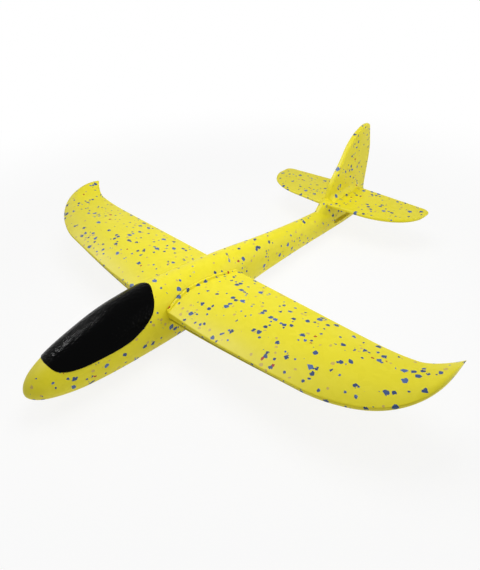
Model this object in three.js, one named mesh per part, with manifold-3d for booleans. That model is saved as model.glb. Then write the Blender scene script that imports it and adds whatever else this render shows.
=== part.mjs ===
// A hand-launched foam glider: a moulded body with its fin, two plug-in wings,
// a push-in tailplane, a black canopy and a steel ballast rod in the nose.
// Millimetres. The nose points to -Y, +X is the glider's left side and +Z is up.
// The origin is under the middle of the glider, at the height of the shaved belly.

import * as THREE from 'three';
import { mergeVertices } from 'three/addons/utils/BufferGeometryUtils.js';
import Module from 'manifold-3d';

const wasm = await Module();
wasm.setup();

// Whole glider
const overallLength = 487;
const wingSpan = 480;

// Body, measured behind the nose tip and above the belly
const bodyDepth = 64.8;
const bodyWidth = 49.2;
const bellyShave = 0.8;
const bellyPower = 2.5;
const finOverhang = 1;

// Each row: place along the body, top, bottom, half width, as shares of length, depth and half width
const bodyShares = [
  [0, 0.394, 0.394, 0],
  [0.0286, 0.642, 0.238, 0.575],
  [0.0955, 0.831, 0.113, 0.858],
  [0.191, 0.973, 0.053, 1],
  [0.26, 1, 0.013, 0.976],
  [0.306, 0.964, 0, 0.947],
  [0.431, 0.886, 0.037, 0.797],
  [0.574, 0.738, 0.086, 0.602],
  [0.717, 0.622, 0.085, 0.504],
  [0.86, 0.546, 0.08, 0.5],
  [0.922, 0.524, 0.08, 0.45],
  [0.967, 0.51, 0.085, 0.34],
  [1, 0.495, 0.1, 0.2],
];
const bodyRings = 40;
const bodySides = 32;
const noseTipShare = 0.00002;

// Wings
const wingStation = 124.1;
const rootChord = 93.7;
const wingHeight = 39.6;
const wingRiseShare = 0.048;
const leadSweepShare = 0.066;
const leadBow = 2;
const leadBowLength = 190;
const trailSweepShare = -0.044;
const roundedTipLength = 79;
const leadTipPower = 1.7;
const leadTipRootShare = 0.294;
const tipHornLength = 26;
const tipHorn = 12.6;
const tipHornPower = 1.6;
const tipCurl = 13.7;
const tipCurlPower = 3;
const tipDip = 1.5;
const wingCamber = 9.5;
const camberPeakShare = 0.4;
const camberFrontPower = 2;
const camberRearPower = 1.8;
const rootLift = 5.2;
const rootLiftStart = 5;
const rootLiftEnd = 85;
const rootLiftPower = 3;
const wingFrontDepth = 5.2;
const wingNoseShare = 0.025;
const wingEdgeThickness = 1.8;
const underCamber = 4.5;
const tipEndShare = 0.9985;
const wingSideSteps = 12;
const wingInnerRings = 9;
const wingTipRings = 13;

// Root rib and plug-in tongue of each wing
const panelStartShare = 0.25;
const rootSectionShare = 0.8;
const ribWidth = 2.3;
const ribHeight = 2.2;
const ribEndHeight = 0.8;
const ribUnderHeight = 1;
const ribFrontInset = 1.5;
const ribRearReach = 1;
const tongueInset = 1.8;
const tongueFront = 12;
const tongueRear = 16;
const tongueSteps = 10;
const tongueEndGap = 0.3;
const slotLap = 0.6;

// Fin, moulded on the body
const finTop = 125.8;
const finChord = 88.4;
const finThickness = 7.6;
const finTipThickness = 6;
const finEdgeThickness = 3;
const finNoseShare = 0.05;
const finTaperShare = 0.5;
const finRings = 20;
const finSideSteps = 8;

// Each row: height as a share of the fin's top, then how far ahead of the tail's end the
// leading and the trailing edge lie, as shares of the fin's chord
const finShares = [
  [0.1, 0.992, 0.025],
  [0.38, 1, 0.025],
  [0.44, 0.997, 0.017],
  [0.527, 0.958, 0.009],
  [0.6, 0.873, 0.003],
  [0.687, 0.768, 0],
  [0.75, 0.703, 0.007],
  [0.845, 0.604, 0.039],
  [0.93, 0.469, 0.073],
  [0.965, 0.362, 0.085],
  [0.985, 0.285, 0.114],
  [1, 0.215, 0.165],
];

// Neck that carries the tailplane and runs into the fin
const neckFrontReach = 17.4;
const neckRearReach = 15;
const neckRamp = 22;
const neckCover = 2.8;
const neckHalfWidth = 10.5;
const neckEndShare = 0.5;
const neckSectionPower = 2.5;
const neckRings = 14;

// Tailplane
const tailSpan = 218;
const tailChord = 71.6;
const tailSetIn = 23;
const tailHeight = 43.7;
const tailThickness = 5;
const tailTipThickness = 3.4;
const tailLeadSweepShare = 0.068;
const tailTrailSweepShare = -0.047;
const tailRoundedLength = 60;
const tailLeadPower = 2.04;
const tailLeadRootShare = 0.391;
const tailCorner = 8;
const tailCornerLength = 11;
const tailSectionPower = 5;
const tailRings = 30;
const tailSideSteps = 9;

// Spare tail slot, low in the tail
const spareSlotSetback = 11.1;
const spareSlotSlack = 0.7;

// Canopy: its rim in side view, as shares of its length and of the body's depth
const canopyLength = 108;
const canopyOverWing = 5.1;
const canopyThickness = 4;
const canopyProud = 0.8;
const canopyRimShares = [
  [0, 0.73],
  [0.033, 0.65],
  [0.113, 0.597],
  [0.246, 0.573],
  [0.42, 0.575],
  [0.577, 0.592],
  [0.667, 0.631],
  [0.747, 0.682],
  [0.84, 0.772],
  [0.9, 0.882],
  [0.94, 0.975],
  [1, 1.05],
];
const canopyRimSteps = 30;

// Ballast rod in its pocket under the canopy
const ballastDiameter = 9;
const ballastLength = 22;
const ballastSetback = 11.8;
const ballastHeightShare = 0.4;
const ballastChamfer = 0.8;
const ballastSides = 20;

// Clearances
const seatClearance = 0.3;
const slotClearance = 0.35;
const overrun = 6;

// Least cosine of half a corner's turn, so that a grown outline has no long spikes
const cornerLimit = 0.5;

// Worked-out sizes
const noseY = -overallLength / 2;
const bodyLength = overallLength - finOverhang;
const wingHalfSpan = wingSpan / 2;
const tailHalfSpan = tailSpan / 2;
const tailTrailStation = bodyLength - tailSetIn;
const tailLeadStation = tailTrailStation - tailChord;
const neckStation = tailLeadStation - neckFrontReach;
const neckLength = tailTrailStation + neckRearReach - neckStation;
const neckTop = tailHeight + tailThickness / 2 + neckCover;
const spareSlotStation = tailLeadStation + spareSlotSetback;
const canopyStation = wingStation + canopyOverWing - canopyLength;
const ballastStation = canopyStation + ballastSetback;
const ballastHeight = bodyDepth * ballastHeightShare;
const panelStart = (bodyWidth / 2) * panelStartShare;
const rootSection = (bodyWidth / 2) * rootSectionShare;

const atStation = (distance) => noseY + distance;
const clampShare = (value) => Math.min(Math.max(value, 0), 1);
const mix = (from, to, share) => from + (to - from) * share;

// Smooth value of a table column: a cubic between rows, whose slopes never overshoot
function smoothValue(places, values, at) {
  const slopes = places.map((place, i) => {
    if (i === 0 || i === places.length - 1) {
      const j = Math.max(i, 1);
      return (values[j] - values[j - 1]) / (places[j] - places[j - 1]);
    }
    const before = (values[i] - values[i - 1]) / (place - places[i - 1]);
    const after = (values[i + 1] - values[i]) / (places[i + 1] - place);
    return before * after <= 0 ? 0 : (2 * before * after) / (before + after);
  });
  let row = 0;
  while (row < places.length - 2 && at > places[row + 1]) row += 1;
  const gap = places[row + 1] - places[row];
  const t = clampShare((at - places[row]) / gap);
  const start = values[row] * (1 + 2 * t) + slopes[row] * gap * t;
  const end = values[row + 1] * (3 - 2 * t) - slopes[row + 1] * gap * (1 - t);
  return start * (1 - t) ** 2 + end * t ** 2;
}

// A closed skin over rings of points, each end closed by a fan from its middle
function skin(rings) {
  const sides = rings[0].length;
  const middles = [rings[0], rings[rings.length - 1]].map((ring) =>
    ring.reduce((sum, point) => sum.add(point), new THREE.Vector3()).divideScalar(sides)
  );
  const points = [...rings.flat(), ...middles];
  const firstMiddle = rings.length * sides;
  const faces = [];
  for (let ring = 0; ring < rings.length - 1; ring += 1) {
    for (let side = 0; side < sides; side += 1) {
      const a = ring * sides + side;
      const b = ring * sides + ((side + 1) % sides);
      faces.push(a, a + sides, b + sides, a, b + sides, b);
    }
  }
  const lastRing = (rings.length - 1) * sides;
  for (let side = 0; side < sides; side += 1) {
    const next = (side + 1) % sides;
    faces.push(firstMiddle, side, next);
    faces.push(firstMiddle + 1, lastRing + next, lastRing + side);
  }
  const geometry = new THREE.BufferGeometry().setFromPoints(points);
  geometry.setIndex(faces);
  return geometry;
}

// A prism across the glider over an outline in side view, rising sideways like a wing
function prismAcross(outline, from, to, rise = 0) {
  const shape = new THREE.Shape(outline);
  const geometry = new THREE.ExtrudeGeometry(shape, { depth: to - from, bevelEnabled: false });
  geometry.translate(0, 0, from);
  geometry.applyMatrix4(new THREE.Matrix4().set(0, 0, 1, 0, 1, 0, 0, 0, 0, 1, rise, 0, 0, 0, 0, 1));
  return geometry;
}

// The same closed body on the other side of the glider
function mirrored(geometry) {
  const copy = geometry.clone().scale(-1, 1, 1);
  const index = copy.getIndex();
  for (let face = 0; face < index.count; face += 3) {
    const second = index.getX(face + 1);
    index.setX(face + 1, index.getX(face + 2));
    index.setX(face + 2, second);
  }
  return copy;
}

// An outline moved outwards by a distance; it runs counterclockwise
function grownOutline(outline, distance) {
  return outline.map((point, i) => {
    const before = outline[(i + outline.length - 1) % outline.length];
    const after = outline[(i + 1) % outline.length];
    const inward = point.clone().sub(before).normalize();
    const outward = after.clone().sub(point).normalize();
    const along = inward.clone().add(outward).normalize();
    const spread = distance / Math.max(Math.sqrt((1 + inward.dot(outward)) / 2), cornerLimit);
    return new THREE.Vector2(point.x + along.y * spread, point.y - along.x * spread);
  });
}

// Closed geometry to a solid for joins and cuts, and back
function solid(geometry) {
  const bare = geometry.clone();
  bare.deleteAttribute('normal');
  bare.deleteAttribute('uv');
  const merged = mergeVertices(bare);
  const vertProperties = new Float32Array(merged.getAttribute('position').array);
  const triVerts = new Uint32Array(merged.getIndex().array);
  return new wasm.Manifold(new wasm.Mesh({ numProp: 3, vertProperties, triVerts }));
}

function geometryOf(manifold) {
  const mesh = manifold.getMesh();
  const geometry = new THREE.BufferGeometry();
  geometry.setAttribute('position', new THREE.BufferAttribute(mesh.vertProperties, 3));
  geometry.setIndex(new THREE.BufferAttribute(mesh.triVerts, 1));
  return geometry;
}

const block = (width, length, height, x, y, z) =>
  solid(new THREE.BoxGeometry(width, length, height).translate(x, y, z));

// Body
const bodyPlaces = bodyShares.map((row) => Math.sqrt(row[0]));
const bodyColumn = (column, place) =>
  smoothValue(bodyPlaces, bodyShares.map((row) => row[column]), Math.sqrt(place));
const bodyTop = (place) => bodyDepth * bodyColumn(1, place) - bellyShave;
const bodyBottom = (place) => bodyDepth * bodyColumn(2, place) - bellyShave;
const bodyHalfWidth = (place) => (bodyWidth / 2) * bodyColumn(3, place);
const tailMiddle = (bodyTop(1) + bodyBottom(1)) / 2;

// An ellipse above the body's middle height and a fuller, squarer curve below it
const bodyTurn = (share, power) => Math.sign(share) * Math.abs(share) ** (2 / power);

// The body's round form, grown or drawn in by an offset, between two shares of its length
function bodyForm(offset, from, to) {
  const rings = [];
  const first = Math.sqrt(from);
  const last = Math.sqrt(to);
  const count = Math.ceil(bodyRings * (last - first));
  for (let ring = 0; ring <= count; ring += 1) {
    const place = mix(first, last, ring / count) ** 2;
    const halfDepth = (bodyTop(place) - bodyBottom(place)) / 2 + offset;
    const halfWidth = bodyHalfWidth(place) + offset;
    const middle = (bodyTop(place) + bodyBottom(place)) / 2;
    const points = [];
    for (let side = 0; side < bodySides; side += 1) {
      const turn = ((side + 0.5) / bodySides) * 2 * Math.PI;
      const power = Math.sin(turn) < 0 ? bellyPower : 2;
      const x = halfWidth * bodyTurn(Math.cos(turn), power);
      const z = middle + halfDepth * bodyTurn(Math.sin(turn), power);
      points.push(new THREE.Vector3(x, atStation(place * bodyLength), z));
    }
    rings.push(points);
  }
  return solid(skin(rings));
}

const bodySolid = bodyForm(0, noseTipShare, 1);

// Fin
const finHeights = finShares.map((row) => row[0]);
const finEdge = (column, z) =>
  overallLength - finChord * smoothValue(finHeights, finShares.map((row) => row[column]), z / finTop);

function finHalfThickness(chordShare, z) {
  const full = mix(finThickness, finTipThickness, z / finTop) / 2;
  const nose = Math.sqrt(1 - (1 - clampShare(chordShare / finNoseShare)) ** 2);
  const taper = clampShare((chordShare - finTaperShare) / (1 - finTaperShare));
  return mix(full, finEdgeThickness / 2, taper) * nose;
}

function finSolid() {
  const rings = [];
  for (let ring = 0; ring <= finRings; ring += 1) {
    const climb = Math.sin((ring / finRings) * (Math.PI / 2));
    const z = mix(tailMiddle, finTop, climb * tipEndShare);
    const points = [];
    for (let step = 0; step < finSideSteps * 2; step += 1) {
      const near = step > finSideSteps;
      const way = near ? 2 - step / finSideSteps : step / finSideSteps;
      const share = way ** 2;
      const y = atStation(mix(finEdge(1, z), finEdge(2, z), share));
      const half = finHalfThickness(share, z);
      points.push(new THREE.Vector3(near ? half : -half, y, z));
    }
    rings.push(points);
  }
  return solid(skin(rings));
}

// Neck between body and tailplane, with a ramp at each end; it starts inside the body
function neckSolid() {
  const rings = [];
  for (let ring = 0; ring <= neckRings; ring += 1) {
    const along = (neckLength * (1 - Math.cos((ring / neckRings) * Math.PI))) / 2;
    const climb = clampShare(Math.min(along, neckLength - along) / neckRamp);
    const rise = mix(bodyTop(1), neckTop, Math.sin((climb * Math.PI) / 2)) - tailMiddle;
    const halfWidth = mix(neckHalfWidth * neckEndShare, neckHalfWidth, climb);
    const points = [];
    for (let side = 0; side < bodySides; side += 1) {
      const turn = ((side + 0.5) / bodySides) * 2 * Math.PI;
      const power = 2 / neckSectionPower;
      const x = Math.sign(Math.cos(turn)) * Math.abs(Math.cos(turn)) ** power * halfWidth;
      const z = Math.sign(Math.sin(turn)) * Math.abs(Math.sin(turn)) ** power * rise;
      points.push(new THREE.Vector3(x, atStation(neckStation + along), tailMiddle + Math.max(z, 0)));
    }
    rings.push(points);
  }
  return solid(skin(rings));
}

// Wings: outline in plan, lift of the chord line, and section
const wingTrail = (x) =>
  wingStation + rootChord + trailSweepShare * x +
  tipHorn * clampShare((x - wingHalfSpan + tipHornLength) / tipHornLength) ** tipHornPower;

function wingLead(x) {
  const turn = clampShare((x - wingHalfSpan + roundedTipLength) / roundedTipLength);
  const bend = 1 - (1 - turn ** leadTipPower) ** leadTipRootShare;
  const straightEnd = wingStation + leadSweepShare * wingHalfSpan;
  const bow = leadBow * Math.sin(clampShare(x / leadBowLength) * Math.PI);
  return wingStation + leadSweepShare * x - bow + (wingTrail(wingHalfSpan) - straightEnd) * bend;
}

// Height of the chord line, whose front dips a little before the tip
function wingLift(share, x) {
  const turn = clampShare((x - wingHalfSpan + roundedTipLength) / roundedTipLength);
  const dip = tipDip * Math.sin(turn ** 2 * Math.PI) * (1 - share);
  return wingHeight + wingRiseShare * x + tipCurl * turn ** tipCurlPower - dip;
}

function camberShape(share) {
  if (share < camberPeakShare) {
    return 1 - ((camberPeakShare - share) / camberPeakShare) ** camberFrontPower;
  }
  return 1 - ((share - camberPeakShare) / (1 - camberPeakShare)) ** camberRearPower;
}

const chordScale = (x) => (wingTrail(x) - wingLead(x)) / rootChord;

function wingUpper(share, x) {
  const lift = rootLift * (1 - THREE.MathUtils.smoothstep(x, rootLiftStart, rootLiftEnd));
  return wingCamber * camberShape(share) * chordScale(x) + lift * (1 - share) ** rootLiftPower;
}

function wingLower(share, x) {
  const scale = Math.sqrt(chordScale(x));
  const nose = clampShare(share / wingNoseShare);
  const rear = clampShare((share - wingNoseShare) / (1 - wingNoseShare));
  const hollow = underCamber * chordScale(x) * Math.sin(rear * Math.PI);
  const depth = mix(wingFrontDepth, wingEdgeThickness, rear) * scale - hollow;
  return -depth * Math.sqrt(1 - (1 - nose) ** 2);
}

function wingRing(x) {
  const points = [];
  for (let step = 0; step < wingSideSteps * 2; step += 1) {
    const under = step > wingSideSteps;
    const way = (under ? wingSideSteps * 2 - step : step) / wingSideSteps;
    const share = under ? way ** 2 : (1 - Math.cos(way * Math.PI)) / 2;
    const offset = under ? wingLower(share, x) : wingUpper(share, x);
    const y = atStation(mix(wingLead(x), wingTrail(x), share));
    points.push(new THREE.Vector3(x, y, wingLift(share, x) + offset));
  }
  const trailing = points[wingSideSteps];
  const edge = new THREE.Vector3(x, trailing.y, wingLift(1, x) + wingLower(1, x));
  points.splice(wingSideSteps + 1, 0, edge);
  return points;
}

function wingPanel() {
  const rings = [];
  const outer = wingHalfSpan - roundedTipLength;
  for (let ring = 0; ring < wingInnerRings; ring += 1) {
    rings.push(wingRing(mix(panelStart, outer, ring / wingInnerRings)));
  }
  for (let ring = 0; ring <= wingTipRings; ring += 1) {
    const turn = Math.sin((ring / wingTipRings) * (Math.PI / 2));
    rings.push(wingRing(outer + roundedTipLength * turn * tipEndShare));
  }
  return solid(skin(rings));
}

// Root section in side view, grown by different amounts above, below and at its ends
function rootOutline(above, below, front, rear) {
  const first = -front / rootChord;
  const last = 1 + rear / rootChord;
  const upper = [];
  const lower = [];
  for (let step = 0; step <= tongueSteps; step += 1) {
    const share = mix(first, last, step / tongueSteps);
    const y = atStation(wingStation + rootChord * share);
    const inside = clampShare(share);
    lower.push(new THREE.Vector2(y, wingHeight + wingLower(inside, rootSection) - below));
    upper.unshift(new THREE.Vector2(y, wingHeight + wingUpper(inside, rootSection) + above(inside)));
  }
  return [...lower, ...upper];
}

const ribRise = (share) => mix(ribEndHeight, ribHeight, Math.sqrt(Math.sin(share * Math.PI)));
const tongueOutline = rootOutline(() => -tongueInset, -tongueInset, -tongueFront, -tongueRear);
const slotOutline = grownOutline(tongueOutline, slotClearance);

function wingSlot() {
  const left = prismAcross(slotOutline, -slotLap, bodyWidth / 2 + overrun, wingRiseShare);
  return solid(left).add(solid(mirrored(mergeVertices(left))));
}

function wingGeometry() {
  const flank = bodyForm(seatClearance, noseTipShare, 1);
  const flange = bodyForm(seatClearance + ribWidth, noseTipShare, 1);
  const ribBlank = rootOutline(ribRise, ribUnderHeight, -ribFrontInset, ribRearReach);
  const rib = solid(prismAcross(ribBlank, panelStart, bodyWidth, wingRiseShare)).intersect(flange);
  const tongue = solid(
    prismAcross(tongueOutline, tongueEndGap / 2, bodyWidth / 2 + overrun, wingRiseShare)
  );
  return geometryOf(wingPanel().add(rib).subtract(flank).add(tongue));
}

// Tailplane: outline in plan and section
function tailTrail(x) {
  const corner = clampShare((x - tailHalfSpan + tailCornerLength) / tailCornerLength);
  const bend = tailCorner * (1 - Math.sqrt(1 - corner ** 2));
  return tailTrailStation + tailTrailSweepShare * x - bend;
}

function tailLead(x) {
  const turn = clampShare((x - tailHalfSpan + tailRoundedLength) / tailRoundedLength);
  const bend = 1 - (1 - turn ** tailLeadPower) ** tailLeadRootShare;
  const straightEnd = tailLeadStation + tailLeadSweepShare * tailHalfSpan;
  return tailLeadStation + tailLeadSweepShare * x + (tailTrail(tailHalfSpan) - straightEnd) * bend;
}

function tailRing(x) {
  const away = Math.abs(x);
  const half = mix(tailThickness, tailTipThickness, away / tailHalfSpan) / 2;
  const points = [];
  for (let step = 0; step < tailSideSteps * 2; step += 1) {
    const turn = (step / (tailSideSteps * 2)) * 2 * Math.PI;
    const power = 2 / tailSectionPower;
    const along = -Math.sign(Math.cos(turn)) * Math.abs(Math.cos(turn)) ** power;
    const up = Math.sign(Math.sin(turn)) * Math.abs(Math.sin(turn)) ** power;
    const y = atStation(mix(tailLead(away), tailTrail(away), (1 + along) / 2));
    points.push(new THREE.Vector3(x, y, tailHeight + half * up));
  }
  return points;
}

function tailplaneGeometry() {
  const rings = [];
  for (let ring = 0; ring <= tailRings; ring += 1) {
    const turn = Math.sin((ring / tailRings - 1 / 2) * Math.PI);
    rings.push(tailRing(tailHalfSpan * turn * tipEndShare));
  }
  return geometryOf(solid(skin(rings)));
}

// A closed slot across the tail, in the shape of the tailplane's middle section
function tailSlot(station, height, slack) {
  const section = tailRing(0).map((point) => new THREE.Vector2(point.y, point.z)).reverse();
  const slot = prismAcross(grownOutline(section, slack), -bodyWidth / 2, bodyWidth / 2);
  return solid(slot.translate(0, station - tailLeadStation, height - tailHeight));
}

// Canopy: the rim outline in side view, closed high above the body
function canopyOutline() {
  const rim = canopyRimShares.map(
    ([along, height]) =>
      new THREE.Vector2(atStation(canopyStation + canopyLength * along), bodyDepth * height - bellyShave)
  );
  const curve = new THREE.SplineCurve(rim).getPoints(canopyRimSteps);
  const high = bodyDepth + canopyThickness + overrun;
  const rear = new THREE.Vector2(curve[curve.length - 1].x, high);
  const front = new THREE.Vector2(curve[0].x, high);
  return [...curve, rear, front];
}

// The hollow under the shell is drawn from before the canopy to behind it
const hollowFrom = canopyStation / 2 / bodyLength;
const hollowTo = (wingStation + rootChord) / bodyLength;

function canopyGeometry() {
  const side = solid(prismAcross(canopyOutline(), -bodyWidth, bodyWidth));
  const outer = bodyForm(canopyProud, noseTipShare, 1);
  const inner = bodyForm(-canopyThickness, hollowFrom, hollowTo);
  return geometryOf(side.intersect(outer).subtract(inner));
}

function canopyRecess() {
  const outline = grownOutline(canopyOutline(), seatClearance);
  const side = solid(prismAcross(outline, -bodyWidth, bodyWidth));
  return side.subtract(bodyForm(-canopyThickness - seatClearance, hollowFrom, hollowTo));
}

// Ballast rod and its pocket, open upwards under the canopy
function ballastGeometry() {
  const radius = ballastDiameter / 2;
  const profile = [
    new THREE.Vector2(0, 0),
    new THREE.Vector2(radius - ballastChamfer, 0),
    new THREE.Vector2(radius, ballastChamfer),
    new THREE.Vector2(radius, ballastLength - ballastChamfer),
    new THREE.Vector2(radius - ballastChamfer, ballastLength),
    new THREE.Vector2(0, ballastLength),
  ];
  return new THREE.LatheGeometry(profile, ballastSides);
}

function ballastPocket() {
  const radius = ballastDiameter / 2 + seatClearance;
  const length = ballastLength + seatClearance * 2;
  const middle = atStation(ballastStation + ballastLength / 2);
  const high = bodyDepth - canopyThickness;
  const round = new THREE.CylinderGeometry(radius, radius, length, ballastSides);
  const bed = solid(round.translate(0, middle, ballastHeight));
  const shaft = block(radius * 2, length, high - ballastHeight, 0, middle, (high + ballastHeight) / 2);
  return bed.add(shaft);
}

function fuselageGeometry() {
  const belly = block(bodyWidth, overallLength, bodyDepth, 0, 0, -bodyDepth / 2);
  return geometryOf(
    bodySolid
      .add(neckSolid())
      .add(finSolid())
      .subtract(wingSlot())
      .subtract(canopyRecess())
      .subtract(ballastPocket())
      .subtract(tailSlot(tailLeadStation, tailHeight, seatClearance))
      .subtract(tailSlot(spareSlotStation, tailMiddle, spareSlotSlack))
      .subtract(belly)
  );
}

// Materials
const foam = new THREE.MeshStandardMaterial({ color: 0xf2e02a, roughness: 0.55, metalness: 0 });
const canopyBlack = new THREE.MeshStandardMaterial({ color: 0x0b0c0e, roughness: 0.45, metalness: 0 });
const steel = new THREE.MeshStandardMaterial({ color: 0x8d9095, roughness: 0.4, metalness: 1 });

function named(name, geometry, material) {
  const mesh = new THREE.Mesh(geometry, material);
  mesh.name = name;
  return mesh;
}

const leftWing = wingGeometry();
const ballast = named('nose_weight', ballastGeometry(), steel);
ballast.position.set(0, atStation(ballastStation), ballastHeight);

const glider = new THREE.Group();
glider.add(named('fuselage', fuselageGeometry(), foam));
glider.add(named('canopy', canopyGeometry(), canopyBlack));
glider.add(ballast);
glider.add(named('left_wing', leftWing, foam));
glider.add(named('right_wing', mirrored(leftWing), foam));
glider.add(named('tailplane', tailplaneGeometry(), foam));

export default glider;
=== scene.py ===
import math
import bmesh
import bpy
import numpy as np
from mathutils import Matrix, Vector


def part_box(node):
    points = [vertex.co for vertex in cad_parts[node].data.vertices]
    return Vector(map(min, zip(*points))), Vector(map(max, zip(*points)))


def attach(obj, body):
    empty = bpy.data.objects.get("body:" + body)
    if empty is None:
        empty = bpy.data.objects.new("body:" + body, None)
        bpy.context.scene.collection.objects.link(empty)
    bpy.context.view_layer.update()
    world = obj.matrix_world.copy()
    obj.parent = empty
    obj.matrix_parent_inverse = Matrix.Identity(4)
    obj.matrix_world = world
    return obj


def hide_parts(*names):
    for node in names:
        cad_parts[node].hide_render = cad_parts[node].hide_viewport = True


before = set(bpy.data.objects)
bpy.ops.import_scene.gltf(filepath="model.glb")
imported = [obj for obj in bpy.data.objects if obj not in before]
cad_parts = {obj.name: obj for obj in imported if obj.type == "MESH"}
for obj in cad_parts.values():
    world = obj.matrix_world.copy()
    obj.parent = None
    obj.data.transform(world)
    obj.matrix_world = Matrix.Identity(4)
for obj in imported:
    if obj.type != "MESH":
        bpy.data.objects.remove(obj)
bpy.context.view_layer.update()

# Lengths are metres. The nose points to -Y, +X is the glider's left side and +Z is up.
# A station is a distance behind the nose tip.

# Sizes that the frame gives
body_low, body_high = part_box("fuselage")
tail_low, tail_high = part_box("tailplane")
nose_y = body_low.y
overall_length = body_high.y - body_low.y
half_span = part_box("left_wing")[1].x
tail_half_span = tail_high.x
tail_height = (tail_low.z + tail_high.z) / 2
tail_thickness = tail_high.z - tail_low.z
fin_top = body_high.z

# Body
body_depth = 0.0648
body_half_width = 0.0246
belly_shave = 0.0008
belly_power = 2.5
fin_overhang = 0.001
body_length = overall_length - fin_overhang
tail_end_radius = 0.0015
rear_lean_start = 0.6
rear_lean_length = 0.4

# Each row: place along the body, top, bottom, half width, as shares of length, depth and half width
body_shares = np.array([
    [0, 0.394, 0.394, 0],
    [0.0286, 0.642, 0.238, 0.575],
    [0.0955, 0.831, 0.113, 0.858],
    [0.191, 0.973, 0.053, 1],
    [0.26, 1, 0.013, 0.976],
    [0.306, 0.964, 0, 0.947],
    [0.431, 0.886, 0.037, 0.797],
    [0.574, 0.738, 0.086, 0.602],
    [0.717, 0.622, 0.085, 0.504],
    [0.86, 0.546, 0.08, 0.5],
    [0.922, 0.524, 0.08, 0.45],
    [0.967, 0.51, 0.085, 0.34],
    [1, 0.495, 0.1, 0.2],
])

# Fin
fin_chord = 0.0884
fin_half_thickness = 0.0038
fin_tip_half_thickness = 0.003
fin_rear_half_thickness = 0.0015
fin_nose_radius = 0.0013
fin_top_radius = 0.0022
fin_foot_radius = 0.009
fin_foot_seat = 0.002
fin_taper_share = 0.5
edge_chord_share = 0.45

# Each row: height as a share of the fin's top, then how far ahead of the tail's end the
# leading and the trailing edge lie, as shares of the fin's chord
fin_shares = np.array([
    [0.1, 0.992, 0.025],
    [0.38, 1, 0.025],
    [0.44, 0.997, 0.017],
    [0.527, 0.958, 0.009],
    [0.6, 0.873, 0.003],
    [0.687, 0.768, 0],
    [0.75, 0.703, 0.007],
    [0.845, 0.604, 0.039],
    [0.93, 0.469, 0.073],
    [0.965, 0.362, 0.085],
    [0.985, 0.285, 0.114],
    [1, 0.215, 0.165],
])

# Tailplane
tail_chord = 0.0716
tail_set_in = 0.023
tail_tip_thickness = 0.0034
tail_lead_sweep = 0.068
tail_trail_sweep = -0.047
tail_rounded_length = 0.06
tail_lead_power = 2.04
tail_lead_root = 0.391
tail_corner = 0.008
tail_corner_length = 0.011
tail_edge_radius = 0.0022
tail_trail_station = body_length - tail_set_in
tail_lead_station = tail_trail_station - tail_chord

# Neck under the tailplane
neck_front_reach = 0.0174
neck_rear_reach = 0.015
neck_ramp = 0.022
neck_cover = 0.0028
neck_half_width = 0.0105
neck_end_share = 0.5
neck_power = 2.5
neck_station = tail_lead_station - neck_front_reach
neck_length = tail_trail_station + neck_rear_reach - neck_station
neck_top = tail_height + tail_thickness / 2 + neck_cover

# Wings
wing_station = 0.1241
root_chord = 0.0937
wing_height = 0.0396
wing_rise = 0.048
lead_sweep = 0.066
lead_bow = 0.002
lead_bow_length = 0.19
trail_sweep = -0.044
rounded_tip_length = 0.079
lead_tip_power = 1.7
lead_tip_root = 0.294
tip_horn_length = 0.026
tip_horn = 0.0126
tip_horn_power = 1.6
tip_curl = 0.0137
tip_curl_power = 3
tip_dip = 0.0015
wing_camber = 0.0095
camber_peak = 0.4
camber_front_power = 2
camber_rear_power = 1.8
root_lift = 0.0052
root_lift_start = 0.005
root_lift_end = 0.085
root_lift_power = 3
wing_front_depth = 0.0052
wing_nose_share = 0.025
wing_edge_thickness = 0.0018
under_camber = 0.0045
root_lip = 0.0028
root_lip_end = 0.17
root_lip_power = 20
groove_depth = 0.0025
groove_width = 0.0009
groove_drop = 0.0036
groove_fade_start = 0.135
groove_fade_length = 0.04
lead_corner_radius = 0.0009
trail_corner_radius = 0.0006

# Root rib and tongue of each wing
rib_width = 0.0023
rib_height = 0.0022
rib_end_height = 0.0008
rib_under_height = 0.001
rib_wall = 0.00025
rib_crease_depth = 0.0006
rib_crease_width = 0.0005
rib_side_share = 0.85
tongue_inset = 0.0018
tongue_front = 0.012
tongue_rear = 0.016
tongue_end_gap = 0.00015
tongue_root = 0.01968
tongue_outer = 0.0306
tongue_chamfer = 0.0004
tongue_chamfer_share = 0.12

# Canopy: its rim in side view, as shares of its length and of the body's depth
canopy_length = 0.108
canopy_over_wing = 0.0051
canopy_station = wing_station + canopy_over_wing - canopy_length
canopy_thickness = 0.004
canopy_proud = 0.0008
canopy_edge_drop = 0.0012
canopy_edge_radius = 0.0014
canopy_shares = np.array([
    [0, 0.73],
    [0.033, 0.65],
    [0.113, 0.597],
    [0.246, 0.573],
    [0.42, 0.575],
    [0.577, 0.592],
    [0.667, 0.631],
    [0.747, 0.682],
    [0.84, 0.772],
    [0.9, 0.882],
    [0.94, 0.975],
    [1, 1.05],
])

# Clearances
seat_clearance = 0.0003
slot_clearance = 0.00035
spare_slot_setback = 0.0111
spare_slot_slack = 0.0007
slot_power = 5
slot_overlap = 0.0006
overrun = 0.006

# The recess is looked for from this many clearances ahead of the canopy
recess_reach = 4

# How finely the skins are drawn: counts of rings and steps, and how far and how evenly they are spaced
nose_rings = 130
tail_ring_gap = 0.0009
tail_end_rings = 8
height_steps = 220
body_side_steps = 104
wing_side_steps = 72
wing_rings = 110
rib_rings = 9
rib_top_reach = 0.7
rib_wall_rings = 25
rib_wall_reach = 1.1
under_side_spacing = 1.3
wing_ring_spacing = 1.15
root_rounds = 12
root_rings = 5
tongue_steps = 24
tailplane_ring_count = 141
tailplane_edge_steps = 9
tailplane_flat_steps = 30
slot_steps = 96
canopy_search_steps = 4000
canopy_ring_count = 121
canopy_over_steps = 90
canopy_under_steps = 60
halvings = 30

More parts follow.
